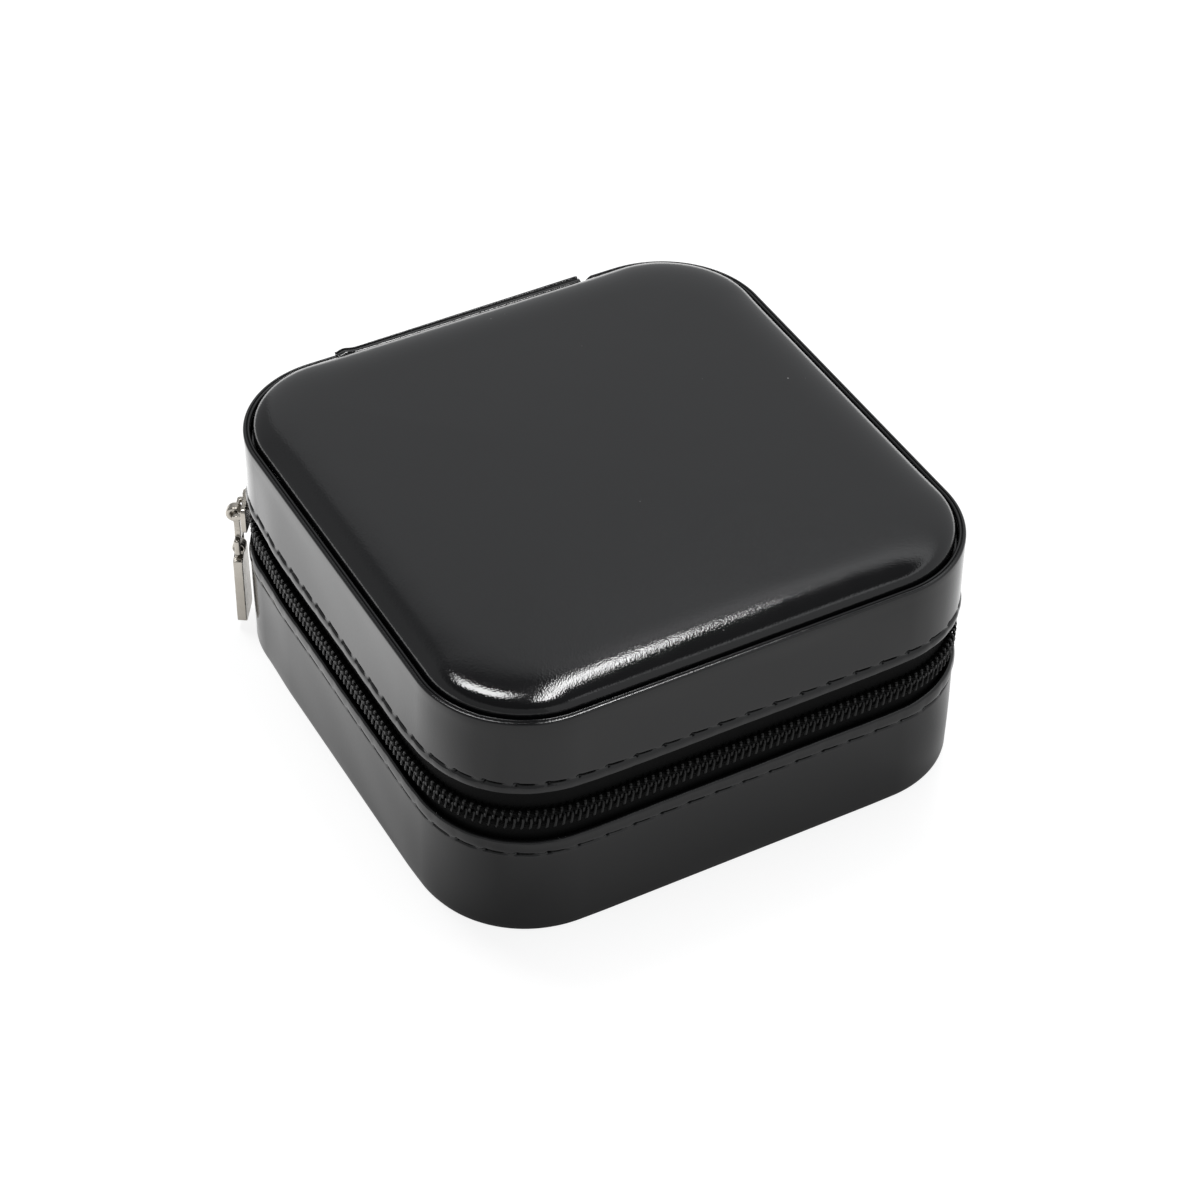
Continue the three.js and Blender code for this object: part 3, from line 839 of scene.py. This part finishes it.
# ---- Slider and pull ----
def slider_place():
    """The slider's frame, in mm: x along the zip, y out of the wall, z up, with its origin on the outline."""
    along = Vector(JOINTS["link_swing"]["axis"]).normalized()
    up = Vector((0, 0, 1))
    out = up.cross(along)
    place = Matrix((along, out, up)).transposed().to_4x4()
    place.translation = Vector((CORNER[0], CORNER[1], ZIP_Z)) + out * RADIUS
    return place


def disc_rings(radius, x0, x1, y, z, sides=40, edge=0.25):
    """A round bar along x with softly rounded ends."""
    ends = ((0, edge), (edge * 0.3, edge * 0.3), (edge, 0))
    spots = [(x0 + a, radius - b) for a, b in ends] + [(x1 - a, radius - b) for a, b in ends[::-1]]
    return loft([np.column_stack([np.full(sides, x), (y, z) + r * circle(sides)]) for x, r in spots])


def ring_solid(loop_outer, loop_inner, low, high):
    """A flat ring between two closed loops in y-z, with a thickness along x and rounded edges."""
    middle, half = (loop_outer + loop_inner) / 2, (loop_outer - loop_inner) / 2
    squared = np.sign(circle(16)) * np.abs(circle(16)) ** 0.6  # a circle pushed out towards a square
    x = (low + high) / 2 + (high - low) / 2 * squared[:, 1]
    rings = [np.column_stack([x, m + h * squared[:, :1]]) for m, h in zip(middle, half)]
    return loft(rings, closed_rings=True)


def slider_face(length, narrow, wide, low, high):
    """A plate of the slider, rounded at its wide end, between two distances out of the wall."""
    half = length / 2
    round_wide, round_narrow = 1.5, 0.6
    corners = [
        (-half + round_narrow, -narrow + round_narrow, round_narrow, 180),
        (half - round_wide, -wide + round_wide, round_wide, 270),
        (half - round_wide, wide - round_wide, round_wide, 0),
        (-half + round_narrow, narrow - round_narrow, round_narrow, 90),
    ]
    loop = np.concatenate([arc_points((x, z), r, start, start + 90, 7) for x, z, r, start in corners])
    return loft([[(x, y, z) for x, z in loop] for y in (low, high)])


def slider_and_pull():
    place = slider_place()
    crown_y = (place.inverted() @ Vector(joint_point("link_swing")))[1]
    pin = place.inverted() @ Vector(joint_point("tab_swing"))
    slider_body(place, crown_y)
    pull_link(place, crown_y, pin)
    pull_tab(place, pin)


def slider_body(place, crown_y):
    """Two plates joined by a web, a raised shoulder on the front plate, and the crown: a bar on two feet."""
    length, narrow, wide = 6.8, 2.6, 3.3
    face = 1.2  # parts on the front plate start just inside it
    left, right, foot, bar = -2.3, 3.3, 0.8, 0.4
    body = merge(
        [
            slider_face(length, narrow, wide, 0.5, 1.4),
            slider_face(length, narrow, wide, -3.8, -2.8),
            rounded_slab((1.9, face, -2.3), (length / 2 - 0.1, 1.95, 2.3), 0.2),
            box_shape((0.5, -3.0, -0.2), (2.4, 0.75, 0.2)),
            disc_rings(bar, left, right, crown_y, 0, edge=0.1),
            box_shape((left, face, -bar), (left + foot, crown_y, bar)),
            box_shape((right - foot, face, -bar), (right, crown_y, bar)),
        ]
    )
    obj = cast_metal("zip_slider", body, place, voxel=0.1, rounds=4)
    finish_piece(obj, LOOKS["nickel"], "slider", ["slider_body"], 70)


def pull_link(place, crown_y, pin):
    """The eye round the crown, the shank below it, and two arms that hold the tab's pin."""
    rim, hole, width = 1.6, 0.75, 2.0
    outer = (crown_y + 0.3, -0.5) + rim * circle(40)
    inner = (crown_y + 0.08, -0.28) + hole * circle(40)
    # The fork is where the shank splits into two arms, near to far from the middle.
    thick, fork, bar, near, far = 1.1, -6.0, 0.5, 1.4, 2.3
    low, high = pin[1] - thick / 2, pin[1] + thick / 2
    shank = loft(
        [
            [(-w, low, z), (w, low, z), (w, high, z), (-w, high, z)]
            for w, z in ((1.0, fork), (0.75, fork + 1.6), (0.75, fork + 2.6), (0.95, -1.7))
        ]
    )
    link = merge(
        [
            ring_solid(outer, inner, -width / 2, width / 2),
            shank,
            rounded_slab((-far, low, fork - bar), (far, high, fork + bar), 0.3),
            rounded_slab((-far, low, pin[2] - thick / 2), (-near, high, fork + bar), 0.3),
            rounded_slab((near, low, pin[2] - thick / 2), (far, high, fork + bar), 0.3),
            disc_rings(bar, -far, far, pin[1], pin[2], edge=0.1),
        ]
    )
    obj = cast_metal("zip_pull_link", link, place, voxel=0.08, rounds=4)
    finish_piece(obj, LOOKS["nickel"], "pull_link", ["pull_link"], 70)


def pull_tab(place, pin):
    """The flat tab, narrowed to a neck under the knuckle that turns on the pin."""
    bottom = node_box("pull_tab")[0][2] - ZIP_Z - 0.2
    top = pin[2] - 1.0
    half, thick, corner, neck = 3.1, 1.7, 1.0, 1.1
    right = [(half - 0.4, top - 0.7), (neck, top), (neck, top + 0.6)]
    loop = np.concatenate(
        [
            arc_points((-half + corner, bottom + corner), corner, 180, 270, 8),
            arc_points((half - corner, bottom + corner), corner, 270, 360, 8),
            right,
            [(-x, z) for x, z in right[::-1]],
        ]
    )
    blade = loft([[(x, y, z) for x, z in loop] for y in (pin[1] - thick / 2, pin[1] + thick / 2)])
    centre = np.array(pin.yz)
    knuckle = ring_solid(centre + 1.25 * circle(32), centre + 0.75 * circle(32), -neck, neck)
    obj = cast_metal("zip_pull_tab", merge([blade, knuckle]), place, voxel=0.1, rounds=3)
    finish_piece(obj, LOOKS["nickel"], "pull_tab", ["pull_tab"], 70)


# ---- Linings ----
def lining(node, body, up):
    """A velvet tray: a closed floor, a cove round it and a rolled lip. up is 1, or -1 for one upside down."""
    low, high = node_box(node)
    outer, thick, cove = node_inset(node), 0.75, 1.2
    foot, lip = (low[2], high[2]) if up > 0 else (high[2], low[2])
    roll = arc_points((outer + thick / 2, lip - up * thick / 2), thick / 2, 180, 180 - up * 180, 9)
    corner = arc_points((outer + thick + cove, foot + up * (0.8 + cove)), cove, 180, 180 + up * 90)
    levels = [(outer, foot), *roll, *corner]
    add_piece(f"{node}_cloth", loft(level_rings(levels)), LOOKS["velvet"], body, [node])


def edge_binding(body, edge, up):
    """Cloth over a wall board's edge, between the zip's tape and the lining."""
    low, high = sorted([edge + up * 0.05, edge + up * 0.45])
    levels = [(2.05, low), (2.05, high), (4.2, high), (4.2, low)]
    shape = loft(level_rings(levels), closed_rings=True)
    add_piece(f"{body}_edge_binding", shape, LOOKS["velvet"], body)


def linings():
    lining("base_lining", "base", 1)
    lining("lid_lining", "lid", -1)
    edge_binding("base", node_box("base_wall_board")[1][2], 1)
    edge_binding("lid", node_box("lid_wall_board")[0][2], -1)
    inset, top = node_inset("base_bottom_cover"), node_box("base_bottom_cover")[1][2]
    levels = [(inset + 0.2, 0), (inset, 0.2), (inset, top - 0.2), (inset + 0.2, top)]
    shape = loft(level_rings(levels))
    add_piece("underside_cover", shape, LOOKS["leather"], "base", ["base_bottom_cover"])


def ring_rolls():
    """Foam bars covered in velvet, crowned, with soft ends, trimmed to the case's corners."""
    room, heel = 5.4, 0.6  # the room left inside the case's outline, and the cut of the lower edges
    for i in range(1, 7):
        node = f"ring_roll_{i}"
        (x0, y0, z0), (x1, y1, z1) = node_box(node)
        cx, half = (x0 + x1) / 2, (x1 - x0) / 2
        arch = arc_points((cx, z1 - half), half, 0, 180, 25)
        flank = np.linspace(z1 - half, z0 + heel, 6)[1:]
        left, right = [(x0, z) for z in flank], [(x1, z) for z in flank[::-1]]
        loop = np.array([*arch, *left, (x0 + heel, z0), (x1 - heel, z0), *right])
        heart = np.array([cx, z0 + (z1 - z0) * 0.45])
        reach_x = WIDTH / 2 - RADIUS
        over = np.maximum(np.abs(loop[:, 0]) - reach_x, 0)
        back = DEPTH / 2 - RADIUS + np.sqrt(np.maximum((RADIUS - room) ** 2 - over**2, 0))
        back = np.minimum(back, node_box("ring_roll_3")[1][1])
        rings = []
        for t in np.linspace(0, 1, 41):
            to_end = min(min(t, 1 - t) * (y1 - y0) / 3, 1)
            shrink = 1 - 0.32 * (1 - math.sqrt(1 - (1 - to_end) ** 2))
            pinch = 1 - 0.012 * math.sin(t * 9 + i)
            here = heart + (loop - heart) * shrink * pinch
            rings.append(np.column_stack([here[:, 0], y0 + (back - y0) * t, here[:, 1]]))
        add_piece(f"{node}_cover", loft(rings), LOOKS["velvet"], "base", [node], sharp=70)


def dividers():
    bodies = {"base_partition": "base", "divider_left": "divider_left", "divider_right": "divider_right"}
    for node, body in bodies.items():
        shape = rounded_slab(*node_box(node), 0.8, cuts=(12, 12, 4))
        add_piece(f"{node}_cloth", shape, LOOKS["velvet"], body, [node], sharp=70)


# ---- Inside the lid ----
def snap(node, name, body, x, y):
    """A snap's round cap or post: a flat rim with a domed middle, pointing down."""
    low, high = node_box(node)
    radius, thick = (high[0] - low[0]) / 2, high[2] - low[2]
    rim = [(0.9, 0), (1, 0.15), (1, 0.35), (0.95, 0.5), (0.82, 0.52)]
    middle = [(0.78, 0.6), (0.6, 0.85), (0.35, 0.97), (0.05, 1)]
    levels = [((x, y) + radius * share * circle(36), high[2] - thick * drop) for share, drop in rim + middle]
    shape = loft([np.column_stack([points, np.full(len(points), z)]) for points, z in levels])
    add_piece(name, shape, LOOKS["nickel"], body, [node], 50)


def tab_stitches(body):
    """Two rows of small stitches under a necklace tab, near its edges."""
    low, high = node_box(body)
    margin, stitch = 1, 2.4
    t = np.linspace(0, 1, 7)
    z = low[2] - 0.02 + 0.25 * dips(t)
    rows = []
    for x in (low[0] + margin, high[0] - margin):
        for k in range(int((high[1] - low[1] - 2 * margin) / stitch)):
            y = low[1] + margin + (k + 0.08 + 0.84 * t) * stitch
            rows.append(tube(np.column_stack([np.full(len(t), x), y, z]), 0.13, 6))
    add_piece(f"{body}_stitches", merge(rows), LOOKS["thread"], body)


def necklace_keeper():
    """A leather strip sewn in the lid, and three tabs that snap to it."""
    shape = rounded_slab(*node_box("necklace_strip"), 0.35, cuts=(20, 8, 1))
    add_piece("necklace_strip_cover", shape, LOOKS["leather"], "lid", ["necklace_strip"], 60)
    for side in ("left", "middle", "right"):
        body = f"necklace_tab_{side}"
        shape = rounded_slab(*node_box(body), 0.4, cuts=(8, 16, 1))
        add_piece(f"{body}_cover", shape, LOOKS["leather"], body, [body], 60)
        tab_stitches(body)
        cap, post = f"snap_cap_{side}", f"snap_post_{side}"
        x, y = sum(node_box(cap))[:2] / 2
        snap(cap, f"{cap}_dome", body, x, y)
        snap(post, f"{post}_stud", "lid", x, y)


def lid_pocket():
    """A gathered velvet pocket: tight at its sewn sides, full and pleated at the elastic mouth."""
    low, high = node_box("lid_pocket")
    columns, rows, pleats, cloth = 220, 40, 23, 0.5
    u = np.linspace(0, 1, columns)
    outer, inner = [], []
    full = high[2] - low[2] - 0.4
    for t in np.linspace(0, 1, rows):
        y = low[1] + (high[1] - low[1]) * t
        edge = np.minimum(u, 1 - u) * (high[0] - low[0])
        from_side = smooth_step(edge / 5)
        from_back = smooth_step((1 - t) * 3.2)
        belly = 0.35 + 0.65 * np.sqrt(np.clip(from_side * from_back, 0, 1))
        pleat = 0.16 * np.sin(u * 2 * math.pi * pleats + 1.3 * np.sin(u * 17)) * (1 - t) ** 1.5 * from_side
        drop = full * belly + pleat - 0.3
        x = low[0] + (high[0] - low[0]) * u
        z = high[2] - np.clip(drop, cloth, full)
        outer.append(np.column_stack([x, np.full(columns, y), z]))
        inner.append(np.column_stack([x, np.full(columns, y), np.minimum(z + cloth, high[2] - 0.02)]))
    points = np.concatenate(outer + inner)
    faces = []
    size = columns * rows
    for r in range(rows - 1):
        for c in range(columns - 1):
            a = r * columns + c
            faces.append((a, a + 1, a + columns + 1, a + columns))
            faces.append((size + a, size + a + columns, size + a + columns + 1, size + a + 1))
    border = [(0, c) for c in range(columns)] + [(r, columns - 1) for r in range(1, rows)]
    border += [(rows - 1, c) for c in range(columns - 2, -1, -1)] + [(r, 0) for r in range(rows - 2, 0, -1)]
    loop = [r * columns + c for r, c in border]
    for a, b in zip(loop, loop[1:] + loop[:1]):
        faces.append((a, size + a, size + b, b))
    add_piece("lid_pocket_cloth", (points, faces), LOOKS["velvet"], "lid", ["lid_pocket"], 80)

    low, high = node_box("pocket_elastic")
    room = (0, 0, 0.15)

    def ruffle(points):
        points[:, 2] += 0.12 * np.sin((points[:, 0] - low[0]) * 2 * math.pi * pleats / (high[0] - low[0]))
        return points

    shape = rounded_slab(low + room, high - room, 0.5, cuts=(150, 4, 1), bend=ruffle)
    add_piece("pocket_elastic_band", shape, LOOKS["webbing"], "lid", ["pocket_elastic"], 70)


def hidden_structure():
    """CAD nodes that stay as they are, under the covers."""
    for node in ("base_bottom_board", "base_wall_board", "lid_wall_board", "lid_pad_foam"):
        kind = "foam" if "foam" in node else "board"
        obj = frame["nodes"][node]
        obj.data.materials.clear()
        obj.data.materials.append(LOOKS[kind])


# ---- Stage, in metres ----
def emitter(name, place, size, power, turn):
    """A rectangular lamp that shines straight down, turned by degrees about +Z."""
    light = bpy.data.lights.new(name, "AREA")
    light.shape = "RECTANGLE"
    light.size, light.size_y = size
    light.energy = power
    obj = bpy.data.objects.new(name, light)
    bpy.context.scene.collection.objects.link(obj)
    obj.location = place
    obj.rotation_euler = (0, 0, math.radians(turn))


def studio_world():
    """A bright backdrop behind the case, dimmer to its left, under a dark ceiling."""
    world = bpy.data.worlds.new("studio")
    bpy.context.scene.world = world
    world.use_nodes = True
    sky = Nodes(world.node_tree, "Generated")
    # The backdrop's edge stands a little to the right of straight behind the case.
    from_edge = sky.math("SUBTRACT", sky.axis("X"), sky.math("MULTIPLY", sky.axis("Y"), 0.07))
    backdrop = sky.spread(from_edge, 0.42, 0.7, -0.008, 0.008)
    ceiling = sky.spread(sky.axis("Z"), 1.0, 0.2, 0.7, 0.8)
    # High on the right, a soft glow beside the strip light.
    to_right = sky.spread(sky.axis("X"), 0, 1, 0.31, 0.37)
    above, below = sky.spread(sky.axis("Z"), 0, 1, 0.69, 0.77), sky.spread(sky.axis("Z"), 1.3, 0, 0.79, 0.84)
    glow = sky.math("MULTIPLY", sky.math("MULTIPLY", to_right, above), below)
    background = sky.nodes["Background"]
    background.inputs["Color"].default_value = (0.97, 0.985, 1, 1)
    strength = sky.math("ADD", sky.math("MULTIPLY", backdrop, ceiling), glow)
    sky.links.new(strength, background.inputs["Strength"])


def white_sweep():
    """The white table.

    The camera sees it overexposed, as in a cut-out studio picture. For other rays it glows with painted
    light, brighter behind and beside the case and dimmer in front, with painted shade near the case's foot,
    and the case's glossy walls reflect that painted light.
    """
    floor = new_mesh("floor", [(-3, -3, 0), (3, -3, 0), (3, 3, 0), (-3, 3, 0)], [(0, 1, 2, 3)], scale=1)
    paper = Look("white_sweep", (0.25, 0.25, 0.25), 0.9)
    paper.bump(paper.noise(4, 3), 0.02, 0.2)
    seen = paper.nodes.new("ShaderNodeLightPath").outputs["Is Camera Ray"]
    # Painted light: for rays other than camera rays the floor glows, brighter behind the case than in front
    # of it.
    glow = paper.spread(paper.axis("Y"), 0.45, 1.35, -0.055, 0.03)
    across, along = (paper.math("ABSOLUTE", paper.axis(name), 0) for name in "XY")
    # Painted shade near the case: the painted glow is dimmed next to the case's foot.
    painted_shade_near_case = paper.spread(paper.math("MAXIMUM", across, along), 0.45, 1, 0.05, 0.078)
    glow = paper.math("MULTIPLY", glow, painted_shade_near_case)
    glow = paper.math("MULTIPLY", glow, paper.math("SUBTRACT", 1.0, seen))
    paper.shader.inputs["Emission Color"].default_value = (1, 1, 1, 1)
    paper.drive("Emission Strength", paper.math("ADD", glow, paper.math("MULTIPLY", seen, 0.85)))
    floor.data.materials.append(paper.material)


def stage():
    studio_world()
    white_sweep()
    emitter("softbox_left", (-0.08, 0.29, 0.8), (0.17, 0.28), 2.8, turn=33)
    emitter("striplight_right", (0.194, 0.13, 0.8), (0.078, 0.48), 2.7, turn=-31)
    bpy.context.scene.view_settings.view_transform = "Standard"


def camera():
    azimuth, elevation, roll = np.radians([-29.04, 41.7, 0.72])
    distance = 0.552
    target = Vector((-0.0033, -0.0071, 0.025))
    data = bpy.data.cameras.new("camera")
    data.sensor_width = 36
    data.lens = 95.97
    obj = bpy.data.objects.new("camera", data)
    bpy.context.scene.collection.objects.link(obj)
    level = math.cos(elevation)
    back = Vector((math.sin(azimuth) * level, -math.cos(azimuth) * level, math.sin(elevation)))
    obj.location = target + back * distance
    aim = (-back).to_track_quat("-Z", "Y").to_matrix().to_4x4()
    obj.rotation_euler = (aim @ Matrix.Rotation(roll, 4, "Z")).to_euler()
    bpy.context.scene.camera = obj


base_wall()
lid_wall()
padded_top()
zip_fastener()
hinge_strip()
slider_and_pull()
linings()
ring_rolls()
dividers()
necklace_keeper()
lid_pocket()
hidden_structure()
stage()
camera()
